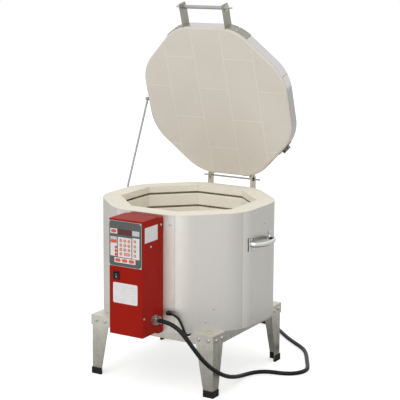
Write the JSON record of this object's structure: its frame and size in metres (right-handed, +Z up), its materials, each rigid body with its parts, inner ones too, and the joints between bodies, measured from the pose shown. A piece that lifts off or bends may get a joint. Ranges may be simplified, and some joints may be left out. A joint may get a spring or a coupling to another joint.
{
  "type": "ceramic kiln",
  "caption": "Eight-sided top-loading electric ceramic kiln: propped lid open, side control box with keypad, rocker switch, angle-iron stand and power cord.",
  "frame": {"origin": "vertical axis of the chamber at floor level", "axes": "+Z up, control box towards -Y, lid hinge along X at +Y"},
  "size_m": [0.7047, 1.0015, 1.2483],
  "materials": {
    "firebrick": "matte insulating firebrick",
    "lid_brick": "matte insulating firebrick",
    "stainless": "bright rolled stainless sheet",
    "polished_steel": "polished",
    "screw_steel": "zinc plated",
    "galvanised": "satin grey",
    "black_rubber": "matte",
    "element_wire": "oxidised resistance wire",
    "porcelain": "white ceramic",
    "brass": "plain",
    "red_paint": "semi-gloss red powder coat",
    "grey_panel": "satin grey",
    "key_film": "membrane keypad film",
    "red_window": "dark red window",
    "board_green": "circuit board",
    "core_steel": "laminated core",
    "black_plastic": "moulded",
    "label_film": "blank plate",
    "zinc": "die-cast",
    "cord_jacket": "black cord jacket"
  },
  "bodies": {
    "kiln_body": {"wall_course_1": "firebrick", "wall_course_2": "firebrick", "wall_course_3": "firebrick", "floor_slab": "firebrick", "floor_pan": "stainless", "jacket": "stainless", "jacket_seam": "stainless", "jacket_screws": "screw_steel", "heating_elements": "element_wire", "terminal_insulators": "porcelain", "terminal_connectors": "brass", "thermocouple": "porcelain", "stand_rails": "galvanised", "stand_legs": "galvanised", "stand_boots": "black_rubber", "stand_bolts": "screw_steel", "stand_nuts": "screw_steel", "body_hinge_straps": "stainless", "guide_bracket": "stainless", "side_handle_right": "polished_steel", "side_handle_left": "polished_steel", "box_cover": "red_paint", "box_tray": "red_paint", "box_screws": "screw_steel", "controller_panel": "grey_panel", "key_overlay": "key_film", "display_window": "red_window", "panel_screws": "screw_steel", "circuit_board": "board_green", "board_standoffs": "screw_steel", "transformer": "core_steel", "relays": "black_plastic", "supply_block": "black_plastic", "rocker_housing": "black_plastic", "front_plate": "label_film", "side_plate": "label_film", "cord_connector": "zinc", "cord_clamp_bar": "zinc", "power_cord": "cord_jacket", "plug": "cord_jacket", "lead_bushing": "black_plastic", "sensor_lead": "cord_jacket", "floor_cutout": "galvanised"},
    "lid": {"lid_slab": "lid_brick", "lid_band": "stainless", "lid_band_clamp": "screw_steel", "lid_hinge_brackets": "stainless", "lid_screws": "screw_steel", "hinge_rod": "screw_steel", "hinge_clips": "screw_steel", "lid_handle_brackets": "stainless", "lid_handle_grip": "stainless", "lid_handle_rod": "screw_steel", "lid_handle_nuts": "screw_steel", "prop_pivot_stud": "stainless"},
    "prop": {"prop_rod": "screw_steel"},
    "prop_guide": {"guide_block": "screw_steel"},
    "switch": {"rocker": "black_plastic"}
  },
  "joints": [
    {"name": "lid_hinge", "type": "hinge", "parent": "kiln_body", "child": "lid", "pos_m": [0, 0.3022, 0.6175], "axis": [1, 0, 0], "range_deg": [0, 71.5]},
    {"name": "prop_pivot", "type": "hinge", "parent": "lid", "child": "prop", "pos_m": [-0.299, 0.21161, 0.88983], "axis": [1, 0, 0], "range_deg": [-36, 0.2]},
    {"name": "guide_swivel", "type": "hinge", "parent": "kiln_body", "child": "prop_guide", "pos_m": [-0.299, 0.04026, 0.5002], "axis": [1, 0, 0], "range_deg": [-0.2, 36]},
    {"name": "power_switch", "type": "hinge", "parent": "kiln_body", "child": "switch", "pos_m": [-0.022, -0.3995, 0.409], "axis": [1, 0, 0], "range_deg": [-16, 0]}
  ],
  "couplings": [
    {"joint": "prop_pivot", "follows": "lid_hinge", "ratio": -0.5},
    {"joint": "guide_swivel", "follows": "lid_hinge", "ratio": 0.5}
  ]
}
